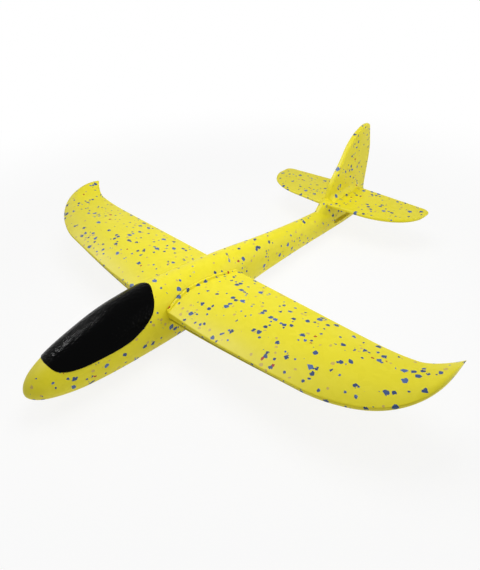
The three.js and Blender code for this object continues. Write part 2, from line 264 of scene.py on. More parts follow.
# Small limits that keep a division, a slope or a merge sound
canopy_least_rise = 1e-5
slope_reach = 1e-4
least_steepness = 1e-4
least_chord = 1e-6
least_depth = 1e-9
least_step = 1e-6
merge_distance = 2e-6
least_edge = 1e-6
sharp_angle = math.radians(38)


def clamp(value):
    """The value, held between 0 and 1."""
    return np.clip(value, 0, 1)


def mix(start, end, share):
    """Start at share 0, end at share 1, and a straight line between them."""
    return start + (end - start) * share


def gentle(share):
    """0 to 1 with a level start and end: the square of the share times 3 less twice the share."""
    return share ** 2 * (3 - 2 * share)


def eased(count):
    """Shares from 0 to 1, closer together near both ends: half of 1 minus the cosine of the turn."""
    return (1 - np.cos(np.linspace(0, np.pi, count))) / 2


def round_over(distance, radius):
    """0 at an edge, rising to 1 at the radius along a quarter circle."""
    return np.sqrt(1 - (1 - clamp(distance / radius)) ** 2)


def smooth_table(places, values, at):
    """Cubic through the rows of a table. The slope at a row is the harmonic mean of the slopes
    on its two sides, or 0 where they differ in sign."""
    gaps = np.diff(places)
    sides = np.diff(values) / gaps
    product = sides[:-1] * sides[1:]
    total = np.where(product > 0, sides[:-1] + sides[1:], 1)
    inner = np.where(product > 0, 2 * product / total, 0)
    slopes = np.concatenate([sides[:1], inner, sides[-1:]])
    row = np.clip(np.searchsorted(places, at) - 1, 0, len(gaps) - 1)
    t = clamp((at - places[row]) / gaps[row])
    start = values[row] * (1 + 2 * t) + slopes[row] * gaps[row] * t
    end = values[row + 1] * (3 - 2 * t) - slopes[row + 1] * gaps[row] * (1 - t)
    return start * (1 - t) ** 2 + end * t ** 2


def signed_volume(points, faces):
    """Six times the volume inside four-cornered faces, positive where they point outwards."""
    a, b, c, d = (points[faces[:, corner]] for corner in range(4))
    first = np.einsum("ij,ij->i", a, np.cross(b, c)).sum()
    second = np.einsum("ij,ij->i", a, np.cross(c, d)).sum()
    return first + second


def skin(name, rings):
    """A closed skin over an array of rings x sides x 3. Neighbouring rings are joined side by side,
    and each end ring has already closed to a point or a line, whose double points are merged."""
    count, sides = rings.shape[:2]
    ring, side = np.meshgrid(np.arange(count - 1), np.arange(sides), indexing="ij")
    after = (side + 1) % sides
    here, there = ring * sides, (ring + 1) * sides
    corners = [here + side, here + after, there + after, there + side]
    faces = np.stack(corners, -1).reshape(-1, 4)
    points = rings.reshape(-1, 3)
    if signed_volume(points, faces) < 0:
        faces = faces[:, ::-1]
    mesh = bpy.data.meshes.new(name)
    mesh.from_pydata(points, [], faces.tolist())
    merge_doubles(mesh)
    piece = bpy.data.objects.new(name, mesh)
    bpy.context.scene.collection.objects.link(piece)
    return piece


def merge_doubles(mesh):
    """Merges points that lie in the same place and drops faces that have no area."""
    work = bmesh.new()
    work.from_mesh(mesh)
    bmesh.ops.remove_doubles(work, verts=work.verts, dist=merge_distance)
    bmesh.ops.dissolve_degenerate(work, dist=least_edge, edges=work.edges)
    work.to_mesh(mesh)
    work.free()


def combine(piece, tools, operation):
    """Joins the tool pieces to a piece, or cuts them from it, and removes them."""
    for tool in tools:
        step = piece.modifiers.new(tool.name, "BOOLEAN")
        step.operation = operation
        step.solver = "EXACT"
        step.object = tool
    bpy.context.view_layer.update()
    graph = bpy.context.evaluated_depsgraph_get()
    result = bpy.data.meshes.new_from_object(piece.evaluated_get(graph))
    piece.modifiers.clear()
    piece.data = result
    for tool in tools:
        bpy.data.objects.remove(tool)


def smooth_faces(piece):
    """Smooth shading, kept sharp where two faces meet at a clear angle."""
    piece.data.shade_smooth()
    piece.data.set_sharp_from_angle(angle=sharp_angle)


# Body form
body_places = np.sqrt(body_shares[:, 0])


def body_column(column, place):
    """A column of the body's table, read against the square root of the place, which rounds the nose."""
    return smooth_table(body_places, body_shares[:, column], np.sqrt(clamp(place)))


def body_top(place):
    """Height of the body's upper outline in side view."""
    return body_depth * body_column(1, place) - belly_shave


def body_bottom(place):
    """Height of the body's lower outline in side view."""
    return body_depth * body_column(2, place) - belly_shave


def body_half(place):
    """Half of the body's width seen from above."""
    return body_half_width * body_column(3, place)


tail_middle = float(body_top(1) + body_bottom(1)) / 2


def flank(y, z):
    """Half width of the body's round form at a point in side view. Height and width, as shares of their
    halves and raised to a power, add up to 1: the power is 2, an ellipse, above the middle height, and
    higher, so fuller, below it."""
    place = (y - nose_y) / body_length
    middle = (body_top(place) + body_bottom(place)) / 2
    half_depth = (body_top(place) - body_bottom(place)) / 2
    power = np.where(z < middle, belly_power, 2)
    height = clamp(np.abs(z - middle) / np.maximum(half_depth, least_depth))
    return body_half(place) * (1 - height ** power) ** (1 / power)


# Fin form
def fin_edge(column, z):
    """Station of the fin's leading edge (column 1) or trailing edge (column 2) at a height."""
    ahead = smooth_table(fin_shares[:, 0], fin_shares[:, column], z / fin_top)
    return overall_length - fin_chord * ahead


def fin_half(station, z):
    """Half thickness of the fin: rounded at its leading edge and top, tapered behind the middle."""
    lead, trail = fin_edge(1, z), fin_edge(2, z)
    chord = np.maximum(trail - lead, least_chord)
    full = mix(fin_half_thickness, fin_tip_half_thickness, z / fin_top)
    taper = clamp(((station - lead) / chord - fin_taper_share) / (1 - fin_taper_share))
    nose = round_over(station - lead, np.minimum(fin_nose_radius, chord * edge_chord_share))
    return mix(full, fin_rear_half_thickness, taper) * nose * round_over(fin_top - z, fin_top_radius)


def rear_shift(z):
    """How far behind the body's own end the tail ends at a height: nothing low down, and rising in a
    straight line, over the top of the body's end, to the reach of the fin's trailing edge."""
    above = clamp((z - tail_middle) / (body_top(1) - tail_middle) - rear_lean_start)
    return (fin_edge(2, z) - body_length) * clamp(above / rear_lean_length)


def tail_station(station, z):
    """Station of a point of the tail part, which leans so that its last ring follows the fin's rear."""
    ramp = clamp((station - tail_lead_station) / (body_length - tail_lead_station))
    return station + gentle(ramp) * rear_shift(z)


def neck_rise(station):
    """Top of the neck and the share of its full width there. The climb is a share of the ramp at each
    end, the top follows the sine of a quarter turn over it, and the width a straight line."""
    along = np.clip(station - neck_station, 0, neck_length)
    climb = clamp(np.minimum(along, neck_length - along) / neck_ramp)
    return mix(body_top(1), neck_top, np.sin(climb * np.pi / 2)), mix(neck_end_share, 1, climb)


def neck_half(station, z):
    """Half width of the neck: height and width, as shares raised to a power, add up to 1, which gives a
    rounded box that stands on the tail's middle height."""
    top, share = neck_rise(station)
    height = np.maximum(z - tail_middle, 0) / (top - tail_middle)
    return neck_half_width * share * clamp(1 - height ** neck_power) ** (1 / neck_power)


def tail_half(station, z):
    """Half width of the tail part: the widest of body, neck and fin. The fin's foot widens downwards
    along a quarter circle and is let a little into what carries it."""
    at = tail_station(station, z)
    carrier = np.maximum(flank(at + nose_y, z), np.where(z > tail_middle, neck_half(at, z), 0))
    fin = np.where(z > tail_middle, fin_half(at, z), 0)
    base = np.maximum(neck_rise(at)[0] - neck_cover, body_top(at / body_length))
    let_in = clamp(1 - (base - z) / fin_foot_seat)
    foot = fin_foot_radius * (1 - round_over(z - base, fin_foot_radius)) * let_in
    footed = fin + foot * clamp(fin / fin_half_thickness)
    return np.maximum(carrier, np.where(fin > 0, footed, 0))


def fin_reach(station):
    """The fin's top at a station, where the leaning ring meets the leading edge, found by halving."""
    low = np.full_like(station, tail_middle)
    high = np.full_like(station, fin_top)
    for _ in range(halvings):
        middle = (low + high) / 2
        inside = fin_edge(1, middle) < tail_station(station, middle)
        low = np.where(inside, middle, low)
        high = np.where(inside, high, middle)
    return low


def fuselage_rings():
    """The body, neck and fin as one skin. Each ring's half width is a function of station and height,
    and its points are spread evenly along the ring's outline, from the belly to the top."""
    front = (np.linspace(0, math.sqrt(neck_station / body_length), nose_rings) ** 2) * body_length
    rear_count = int((body_length - neck_station) / tail_ring_gap)
    rear = mix(neck_station, body_length - tail_end_radius, np.linspace(0, 1, rear_count)[1:])
    turn = np.linspace(0, np.pi / 2, tail_end_rings + 1)[1:]
    end = body_length - tail_end_radius * (1 - np.sin(turn))
    station = np.concatenate([front, rear, end])[:, None]
    place = station / body_length
    bottom, top = body_bottom(place), body_top(place)
    neck = np.maximum(top, np.where(place > neck_station / body_length, neck_rise(station)[0], 0))
    crest = np.maximum(neck, fin_reach(station))
    ease = eased(height_steps)
    stretches = [bottom + (top - bottom) * ease, top + (neck - top) * ease, neck + (crest - neck) * ease]
    z = np.sort(np.concatenate(stretches, 1), 1)
    at = tail_station(station, z)
    half = np.where(station > neck_station, tail_half(station, z), flank(at + nose_y, z))
    half = half * round_over(body_length - station, tail_end_radius)
    half[:, 0] = 0
    half[:, -1] = 0
    step = np.hypot(np.diff(z, axis=1), np.diff(half, axis=1))
    along = np.concatenate([np.zeros_like(station), np.cumsum(step, 1)], 1)

    # The shares along each outline rise even where points coincide, and each ring has a stretch of its own
    rising = np.linspace(0, least_step, along.shape[1])
    along = along / np.maximum(along[:, -1:], least_depth) + rising
    row = np.arange(len(station))[:, None] * 2
    wanted = (np.linspace(0, 1, body_side_steps + 1) + row).ravel()
    z = np.interp(wanted, (along + row).ravel(), z.ravel()).reshape(len(station), -1)
    half = np.interp(wanted, (along + row).ravel(), half.ravel()).reshape(len(station), -1)
    y = tail_station(station, z) + nose_y
    right = np.stack([half, y, np.maximum(z, 0)], -1)
    left = np.stack([-half, y, np.maximum(z, 0)], -1)[:, -2:0:-1]
    return np.concatenate([right, left], 1)


# Wing form
def wing_trail(x):
    """Station of the wing's trailing edge: straight, with a horn at the tip that grows with a power."""
    horn = clamp((x - half_span + tip_horn_length) / tip_horn_length) ** tip_horn_power
    return wing_station + root_chord + trail_sweep * x + tip_horn * horn


def wing_turn(x):
    """0 inside the rounded tip, rising in a straight line to 1 at its end."""
    return clamp((x - half_span + rounded_tip_length) / rounded_tip_length)


def wing_lead(x):
    """Station of the wing's leading edge: a straight line, less a bow along half a sine wave, that bends
    over a tip of two powers to meet the trailing edge."""
    bend = 1 - (1 - wing_turn(x) ** lead_tip_power) ** lead_tip_root
    straight_end = wing_station + lead_sweep * half_span
    bow = lead_bow * np.sin(clamp(x / lead_bow_length) * np.pi)
    return wing_station + lead_sweep * x - bow + (wing_trail(half_span) - straight_end) * bend


def wing_lift(share, x):
    """Height of the chord line: a steady rise, a curl upwards at the tip that grows with a power, and a
    small dip of the leading edge ahead of it, along half a sine wave."""
    turn = wing_turn(x)
    dip = tip_dip * np.sin(turn ** 2 * np.pi) * (1 - share)
    return wing_height + wing_rise * x + tip_curl * turn ** tip_curl_power - dip


def chord_scale(x):
    """The chord as a share of the root's."""
    return (wing_trail(x) - wing_lead(x)) / root_chord


def wing_upper(share, x):
    """Height of the upper side over the chord line: a camber line that falls with a power to both sides
    of its peak and, near the root, a raised front."""
    front = 1 - clamp((camber_peak - share) / camber_peak) ** camber_front_power
    rear = 1 - clamp((share - camber_peak) / (1 - camber_peak)) ** camber_rear_power
    camber = wing_camber * np.where(share < camber_peak, front, rear) * chord_scale(x)
    away = clamp((x - root_lift_start) / (root_lift_end - root_lift_start))
    lift = root_lift * (1 - gentle(away))
    return camber + lift * (1 - share) ** root_lift_power


def wing_lower(share, x):
    """The under side, below the chord line: a depth that tapers in a straight line to a thin rear edge,
    less a hollow along half a sine wave, and a lip under the leading edge near the root."""
    rear = clamp((share - wing_nose_share) / (1 - wing_nose_share))
    hollow = under_camber * chord_scale(x) * np.sin(rear * np.pi)
    depth = mix(wing_front_depth, wing_edge_thickness, rear) * np.sqrt(chord_scale(x)) - hollow
    lip = root_lip * (1 - gentle(clamp(x / root_lip_end))) * (1 - share) ** root_lip_power
    return -(depth + lip) * round_over(share, wing_nose_share)


def in_groove(drop, x):
    """How far into the leading edge's groove a point lies, from 0 to 1, at a drop below the chord line: a
    bell curve across the groove, which fades out towards the tip."""
    middle = groove_drop * np.sqrt(np.maximum(chord_scale(x), 0))
    fade = 1 - clamp((x - groove_fade_start) / groove_fade_length)
    return np.exp(-((drop - middle) / groove_width) ** 2) * fade


def wing_point(share, x, side):
    """A point of the wing: side 1 is its upper side and side 0 its under side. Each corner is a quarter
    circle, and the groove moves the leading edge's face back."""
    chord = np.maximum(wing_trail(x) - wing_lead(x), least_chord)
    upper, lower = wing_upper(share, x), wing_lower(share, x)
    nose = 1 - round_over(share * chord, lead_corner_radius)
    tail = 1 - round_over((1 - share) * chord, trail_corner_radius)
    upper = upper - nose * lead_corner_radius - tail * (upper - lower) / 2
    lower = lower + tail * (upper - lower) / 2
    z = wing_lift(share, x) + mix(lower, upper, side)
    groove = groove_depth * in_groove(-lower, x) * (1 - side) * (share < wing_nose_share)
    y = nose_y + wing_lead(x) + chord * share + groove
    return np.stack([x + 0 * z, y + 0 * z, z], -1)


def rib_profile(share, out):
    """Height of the root rib over the panel. Along the chord it follows the root of half a sine wave, and
    across it is a little rounded, falls off at a steep soft wall, and ends in a crease, a bell curve."""
    rise = mix(rib_end_height, rib_height, np.sqrt(np.sin(clamp(share) * np.pi)))
    wall = clamp((out - rib_width + rib_wall) / (2 * rib_wall))
    across = clamp(out / (rib_width - rib_wall))
    crease = rib_crease_depth * np.exp(-((out - rib_width - rib_crease_width) / rib_crease_width) ** 2)
    rounded = mix(rib_side_share, 1, np.sin(across * np.pi))
    return rise * (1 - gentle(wall)) * rounded - crease


def wing_panel_rings():
    """The panel with its rib. Across, a ring runs over the upper side from the leading to the trailing
    edge and back under it. Along, rings start on the body's flank, which is found by halving the distance
    to it, and end at the tip."""
    upper_share = eased(wing_side_steps + 1)
    face_share = wing_nose_share * (1 - np.cos(np.linspace(0, np.pi / 2, wing_side_steps // 2)))
    under_share = mix(wing_nose_share, 1, np.linspace(0, 1, wing_side_steps // 2) ** under_side_spacing)
    lower_share = np.concatenate([face_share[1:], under_share[1:-1]])[::-1]
    share = np.concatenate([upper_share, lower_share])
    side = np.concatenate([np.ones(len(upper_share)), np.zeros(len(lower_share))])
    rib_top = np.linspace(0, rib_top_reach, rib_rings)
    rib_side = rib_top_reach + rib_wall_reach * eased(rib_wall_rings)[1:]
    near = np.concatenate([rib_top, rib_side]) * rib_width
    outer = half_span - rounded_tip_length
    inner_count = wing_rings // 2
    spread = np.linspace(0, 1, inner_count + 1)[1:] ** wing_ring_spacing
    tip = np.sin(np.linspace(0, np.pi / 2, wing_rings // 2 + 1))[1:]
    share, side = share[None, :], side[None, :]
    start = np.full(share.shape, body_half_width)
    for _ in range(root_rounds):
        point = wing_point(share, start, side)
        start = (start + (flank(point[..., 1], point[..., 2]) + seat_clearance)) / 2
    near_x = start + near[:, None]
    inner_x = mix(near_x[-1:], outer, spread[:, None])
    tip_x = outer + rounded_tip_length * tip[:, None] * np.ones_like(share)
    x = np.concatenate([near_x, inner_x, tip_x])
    rings = wing_point(share, x, side)
    height = rib_profile(share, x - start)
    rings[..., 2] += np.where(side > 0.5, height, -height * rib_under_height / rib_height)
    root = rings[:1].copy()
    middle = wing_point(share, start, 0.5)
    fill = []
    for part in np.linspace(1, 0, root_rings + 1)[:-1]:
        ring = root + (middle - root) * part
        ring[..., 0] = flank(ring[..., 1], ring[..., 2]) + seat_clearance
        fill.append(ring)
    last = np.broadcast_to(rings[-1:].mean(1, keepdims=True), rings[-1:].shape)
    return np.concatenate([*fill, rings, last])


def tongue_bar(x, grow):
    """Rings of a bar along the wing's rise, at the given distances from the middle: the root's section
    without its two ends, drawn in by the tongue's inset and then grown."""
    front, rear = tongue_front / root_chord, 1 - tongue_rear / root_chord
    share = mix(front, rear, np.linspace(0, 1, tongue_steps))
    low = wing_lower(share, tongue_root) + tongue_inset - grow
    high = wing_upper(share, tongue_root) - tongue_inset + grow
    y = nose_y + wing_station + root_chord * share
    y[0] -= grow
    y[-1] += grow
    x = x[:, None]
    z = np.concatenate([low, high[::-1]]) + wing_height + wing_rise * x
    return np.stack(np.broadcast_arrays(x, np.concatenate([y, y[::-1]]), z), -1)


def wing_tongue_rings():
    """The flat tongue that plugs into the body, drawn in towards its middle line at both ends."""
    inner, outer = tongue_end_gap + tongue_chamfer, tongue_outer - tongue_chamfer
    rings = tongue_bar(np.array([tongue_end_gap, inner, outer, tongue_outer]), 0)
    middle = (rings + rings[:, ::-1]) / 2
    rings[[0, -1]] = mix(rings[[0, -1]], middle[[0, -1]], tongue_chamfer_share)
    return np.concatenate([middle[:1], rings, middle[-1:]])


def wing_slot_rings():
    """Half of the seat for the tongues: a grown tongue from just past the middle to outside the body."""
    rings = tongue_bar(np.array([-slot_overlap, body_half_width + overrun]), slot_clearance)
    middle = (rings + rings[:, ::-1]) / 2
    return np.concatenate([middle[:1], rings, middle[-1:]])


# Tailplane form
def tail_trail(x):
    """Station of the tailplane's trailing edge: a straight line that ends in a quarter ellipse."""
    corner = clamp((x - tail_half_span + tail_corner_length) / tail_corner_length)
    return tail_trail_station + tail_trail_sweep * x - tail_corner * (1 - np.sqrt(1 - corner ** 2))


def tail_lead(x):
    """Station of the tailplane's leading edge: a straight line that bends over a tip of two powers to
    meet the trailing edge."""
    turn = clamp((x - tail_half_span + tail_rounded_length) / tail_rounded_length)
    bend = 1 - (1 - turn ** tail_lead_power) ** tail_lead_root
    straight_end = tail_lead_station + tail_lead_sweep * tail_half_span
    return tail_lead_station + tail_lead_sweep * x + (tail_trail(tail_half_span) - straight_end) * bend


def tailplane_rings():
    """A flat panel with round edges: half thickness falls along a quarter circle near each edge."""
    x = (tail_half_span * np.sin(np.linspace(-np.pi / 2, np.pi / 2, tailplane_ring_count)))[:, None]
    away = np.abs(x)
    edge = tail_edge_radius * (1 - np.cos(np.linspace(0, np.pi / 2, tailplane_edge_steps)))
    chord = tail_trail(away) - tail_lead(away)
    front = np.minimum(edge, chord * edge_chord_share * edge / tail_edge_radius)
    inner = front[:, -1:]
    flat = inner + (chord - inner - inner) * np.linspace(0, 1, tailplane_flat_steps)[1:-1]
    across = np.concatenate([front, flat, chord - front[:, ::-1]], 1)
    near_edge = np.minimum(across, chord - across)
    half = mix(tail_thickness, tail_tip_thickness, away / tail_half_span) / 2
    radius = np.minimum(tail_edge_radius, chord * edge_chord_share)
    half = half * round_over(near_edge, np.maximum(radius, least_chord))
    half = half * round_over(tail_half_span - away, tail_edge_radius)
    y = nose_y + tail_lead(away) + across
    upper = np.stack([x + 0 * y, y, tail_height + half], -1)
    lower = np.stack([x + 0 * y, y, tail_height - half], -1)[:, -2:0:-1]
    return np.concatenate([upper, lower], 1)


def tail_slot(name, setback, height, slack):
    """A closed bar across the tail, round the tailplane's middle section and grown by a slack. Height and
    length, as shares of their halves raised to a power, add up to 1."""
    turn = np.linspace(0, 2 * np.pi, slot_steps + 1)[:-1]
    along = np.sign(np.cos(turn)) * np.abs(np.cos(turn)) ** (2 / slot_power)
    up = np.sign(np.sin(turn)) * np.abs(np.sin(turn)) ** (2 / slot_power)
    y = nose_y + tail_lead_station + setback + tail_chord / 2 + along * (tail_chord / 2 + slack)
    z = height + up * (tail_thickness / 2 + slack)
    x = body_half_width * np.array([-1, -1, 1, 1])
    rings = np.stack(np.broadcast_arrays(x[:, None], y, z), -1)
    rings[[0, -1], :, 1:] = rings[[0, -1], :, 1:].mean(1, keepdims=True)
    return skin(name, rings)


# Canopy form
def canopy_rim(station):
    """Height of the canopy's rim in side view, from its table."""
    share = (station - canopy_station) / canopy_length
    return body_depth * smooth_table(canopy_shares[:, 0], canopy_shares[:, 1], share) - belly_shave


def canopy_rings(growth, outer, inner, edge_drop):
    """A shell on the body's form between its rims, lowered by a growth. Across, a ring runs over the top
    from rim to rim along an ellipse at the outer offset, rounding down towards its edge, and back along
    one at the inner offset, never below the rim. Along, rings fill the stretch whose rim is below the
    top."""
    start, end = canopy_station - growth * recess_reach, canopy_station + canopy_length
    fine = np.linspace(start, end, canopy_search_steps)
    open_top = body_top(fine / body_length) + outer - (canopy_rim(fine) - growth)
    inside = fine[open_top > canopy_least_rise]
    station = mix(inside[0], inside[-1], eased(canopy_ring_count))[:, None]
    place = station / body_length
    middle = (body_top(place) + body_bottom(place)) / 2
    half_depth = (body_top(place) - body_bottom(place)) / 2
    half_width = body_half(place)
    slope = (canopy_rim(station + slope_reach) - canopy_rim(station - slope_reach)) / (2 * slope_reach)
    rim = canopy_rim(station) - growth * np.sqrt(1 + slope ** 2)
    angle = np.arcsin(np.clip((rim - middle) / (half_depth + outer), -1, 1))
    angle[[0, -1]] = np.pi / 2
    turn = mix(angle, np.pi - angle, eased(canopy_over_steps))
    z = middle + (half_depth + outer) * np.sin(turn)
    across = np.cos(turn) / half_width
    upward = np.sin(turn) / half_depth
    upward = upward / np.hypot(across, upward)
    steep = np.sqrt(np.maximum(1 + slope ** 2 - upward ** 2, least_steepness))
    distance = np.maximum(z - rim, 0) / steep
    offset = outer - edge_drop * (1 - round_over(distance, canopy_edge_radius))
    x = (half_width + offset) * np.cos(turn)
    z = middle + (half_depth + offset) * np.sin(turn)
    over = np.stack([x, nose_y + station + 0 * turn, z], -1)
    angle = np.arcsin(np.clip((rim - middle) / (half_depth + inner), -1, 1))
    turn = mix(np.pi - angle, angle, eased(canopy_under_steps))
    x = (half_width + inner) * np.cos(turn)
    z = np.maximum(middle + (half_depth + inner) * np.sin(turn), rim)
    under = np.stack([x, nose_y + station + 0 * turn, z], -1)
    return np.concatenate([over, under], 1)


# Shader maths
class Sums:
    """Wraps a socket, so that an expression on sockets adds its Math nodes."""

    def __init__(self, tree, socket):
        self.tree = tree
        self.socket = socket

    def beside(self, output):
        """Another output of the node that this one comes from."""
        return Sums(self.tree, self.socket.node.outputs[output])

    def join(self, operation, first, second):
        """One Math node of two inputs."""
        return self.tree.add("ShaderNodeMath", {"operation": operation}, {0: first, 1: second})

    def __add__(self, other):
        return self.join("ADD", self, other)

    __radd__ = __add__

    def __mul__(self, other):
        return self.join("MULTIPLY", self, other)

    __rmul__ = __mul__

    def __sub__(self, other):
        return self.join("SUBTRACT", self, other)

    def __rsub__(self, other):
        return self.join("SUBTRACT", other, self)

    def __gt__(self, other):
        return self.join("GREATER_THAN", self, other)

    def __lt__(self, other):
        return self.join("LESS_THAN", self, other)


class Nodes:
    """A node tree, to which nodes are added by type, settings and inputs."""

    def __init__(self, tree):
        self.nodes = tree.nodes
        self.links = tree.links

    def add(self, kind, settings, inputs, output=0):
        """Adds one node: its settings first, a ramp's stops among them, then sockets' values or links."""
        node = self.nodes.new(kind)
        for key, value in settings.items():
            if key == "stops":
                self.set_stops(node.color_ramp.elements, value)
            else:
                setattr(node, key, value)
        for key, value in inputs.items():
            self.feed(node.inputs[key], value)
        return Sums(self, node.outputs[output])

    def set_stops(self, elements, stops):
        """Gives a ramp its places, each with a colour."""
        while len(elements) < len(stops):
            elements.new(0.5)
        for element, (place, colour) in zip(elements, stops):
            element.position = place
            element.color = colour

    def feed(self, socket, value):
        """Links another node to a socket, or sets its value."""
        if isinstance(value, Sums):
            self.links.new(value.socket, socket)
        else:
            socket.default_value = value

    def blend(self, share, first, second):
        """A colour between two others."""
        return self.add("ShaderNodeMix", {"data_type": "RGBA"}, {0: share, 6: first, 7: second}, 2)

    def ramp(self, value, stops):
        """A colour that follows a value over some stops."""
        return self.add("ShaderNodeValToRGB", {"stops": stops}, {0: value})

    def stretch(self, value, start, end, low, high, kind="LINEAR"):
        """Low at the start and high at the end of a range of the value."""
        ends = {0: value, 1: start, 2: end, 3: low, 4: high}
        return self.add("ShaderNodeMapRange", {"interpolation_type": kind}, ends)

    def noise(self, place, scale, detail, output="Fac"):
        """Soft noise, in clouds a metre."""
        inputs = {"Vector": place, "Scale": scale, "Detail": detail}
        return self.add("ShaderNodeTexNoise", {}, inputs, output)

    def cells(self, place, scale, randomness=1.0, feature="F1", output="Distance"):
        """Packed cells, in cells a metre."""
        inputs = {"Vector": place, "Scale": scale, "Randomness": randomness}
        return self.add("ShaderNodeTexVoronoi", {"feature": feature}, inputs, output)

    def seen(self):
        """1 where a ray from the camera arrives, straight or by gloss or glass, and 0 for other light."""
        ray = self.add("ShaderNodeLightPath", {}, {}, "Is Camera Ray")
        return ray + ray.beside("Is Glossy Ray") + ray.beside("Is Transmission Ray")


class Finish(Nodes):
    """A material, whose nodes end in its Principled shader."""

    def __init__(self, name):
        self.material = bpy.data.materials.new(name)
        self.material.use_nodes = True
        super().__init__(self.material.node_tree)
        self.shader = self.nodes["Principled BSDF"]

    def place(self):
        """Where a point lies on the glider, in metres."""
        return self.add("ShaderNodeTexCoord", {}, {}, "Object")

    def bump(self, strength, distance, height):
        """A normal that follows a height."""
        inputs = {"Strength": strength, "Distance": distance, "Height": height}
        return self.add("ShaderNodeBump", {}, inputs)

    def finish(self, **sockets):
        """Feeds the shader's sockets, by name, and gives the material."""
        for key, value in sockets.items():
            self.feed(self.shader.inputs[key.replace("_", " ")], value)
        return self.material


# Finishes: scales are in cells or clouds a metre, and colours are linear red, green, blue and alpha
white = (1, 1, 1, 1)
bead_scale = 208
bead_randomness = 0.9
seam_randomness = 0.85
seam_width = 0.09
red_bead_scale = 430
red_bead_share = 0.0016
bend_scale = 210
bend_reach = 0.0007
patch_scale = 38
patch_pull = 0.8
ragged_scale = 480
ragged_pull = 0.7
chip_least_size = 0.36
chip_size_range = 0.2
foam_cloud_scale = 22
foam_cloud_share = 0.3
foam_grain_scale = 1300
foam_swell_scale = 75
faint_chip_share = 0.5
seam_height = 0.05
grain_height = 0.05
swell_height = 0.5
foam_bump_strength = 0.35
foam_bump_depth = 0.0006
foam_least_rough = 0.42
foam_most_rough = 0.56
foam_gloss = 0.35

# Most of a noise's values lie between these two
cloud_low = 0.3
cloud_high = 0.7

# Each kind of chip: cells a metre, and the share of the cells that are chips
chip_kinds = ((bead_scale, 0.12), (390, 0.045), (330, 0.035))
blue_stops = [
    (0, (0.018, 0.05, 0.15, 1)),
    (0.6, (0.035, 0.085, 0.24, 1)),
    (1, (0.09, 0.17, 0.42, 1)),
]
yellow_stops = [
    (0, (0.87, 0.768, 0.016, 1)),
    (0.5, (0.89, 0.787, 0.019, 1)),
    (1, (0.905, 0.802, 0.023, 1)),
]
cloud_yellow = (0.83, 0.715, 0.014, 1)
faint_chip = (0.42, 0.2, 0.2, 1)
red_chip = (0.42, 0.03, 0.015, 1)
# Painted shade: a dark brown that stands for the shadow inside the groove along the wings' leading edges
painted_groove_shade = (0.055, 0.042, 0.006, 1)

pebble_scale = 480
pebble_grain_scale = 2200
pebble_grain = 0.2
canopy_cloud_scale = 60
canopy_bump_strength = 0.8
canopy_bump_depth = 0.0006
canopy_least_rough = 0.1
canopy_most_rough = 0.15
canopy_gloss = 0.03
canopy_dark = (0.0004, 0.0005, 0.0006, 1)
canopy_pale = (0.0009, 0.001, 0.0011, 1)

steel_mark_scale = (60, 2600, 60)
steel_bump_strength = 0.2
steel_bump_depth = 0.0001
steel_least_rough = 0.25
steel_most_rough = 0.42
steel_dark = (0.36, 0.37, 0.39, 1)
steel_pale = (0.50, 0.51, 0.53, 1)

floor_white = (0.92, 0.92, 0.92, 1)
floor_rough = 0.6
glow_start = 0.25
glow_end = 0.8
glow_least = 0.86


def foam_finish():
    """Bead foam: yellow beads with a few blue and fewer red ones among them, and a satin moulded skin. A
    cell is a chip where its own chance value is low, with more of them in some patches, and its edge is
    made ragged by noise. A painted shade darkens the groove along each wing's leading edge."""
    foam = Finish("bead foam")
    place = foam.place()
    wander = foam.noise(place, bend_scale, detail=2, output="Color")
    parts = {0: wander, 1: (bend_reach, bend_reach, bend_reach), 2: place}
    bent = foam.add("ShaderNodeVectorMath", {"operation": "MULTIPLY_ADD"}, parts)
    patch = foam.noise(place, patch_scale, detail=1)
    ragged = foam.noise(place, ragged_scale, detail=2)
    chips = []
    for scale, often in chip_kinds:
        away = foam.cells(bent, scale, bead_randomness)
        chance = foam.add("ShaderNodeSeparateColor", {}, {0: away.beside("Color")}, "Red")
        picked = chance + (0.5 - patch) * (patch_pull * often) < often
        size = chance.beside("Green") * chip_size_range + chip_least_size
        near = away + (ragged - 0.5) * ragged_pull < size
        chips.append(picked * near)
    first = foam.cells(bent, bead_scale, bead_randomness, output="Color")
    tone = foam.add("ShaderNodeSeparateColor", {}, {0: first}, "Green")
    red_cell = foam.cells(bent, red_bead_scale, output="Color")
    red_share = foam.add("ShaderNodeSeparateColor", {}, {0: red_cell}, "Blue") < red_bead_share
    blue_share = foam.add("ShaderNodeMath", {"operation": "MAXIMUM"}, {0: chips[0], 1: chips[1]})
    cloud = foam.noise(place, foam_cloud_scale, detail=3)
    # How deep a point lies in a wing's leading-edge groove, which is the mask of the painted shade there
    groove = foam.add("ShaderNodeAttribute", {"attribute_name": "groove"}, {}, "Fac")
    colour = foam.blend(cloud * foam_cloud_share, foam.ramp(tone, yellow_stops), cloud_yellow)
    colour = foam.blend(chips[2] * faint_chip_share, colour, faint_chip)
    colour = foam.blend(blue_share, colour, foam.ramp(tone, blue_stops))
    colour = foam.blend(red_share, colour, red_chip)
    # Painted shade: the groove along each wing's leading edge is darkened towards a dark brown
    colour = foam.blend(groove, colour, painted_groove_shade)
    seam = foam.cells(bent, bead_scale, seam_randomness, "DISTANCE_TO_EDGE")
    edge = foam.stretch(seam, 0, seam_width, 0, 1)
    grain = foam.noise(place, foam_grain_scale, detail=2)
    swell = foam.noise(place, foam_swell_scale, detail=2)
    height = edge * seam_height + grain * grain_height + swell * swell_height
    normal = foam.bump(foam_bump_strength, foam_bump_depth, height)
    rough = foam.stretch(cloud, cloud_low, cloud_high, foam_least_rough, foam_most_rough)
    return foam.finish(Base_Color=colour, Roughness=rough, Normal=normal, Specular_IOR_Level=foam_gloss)


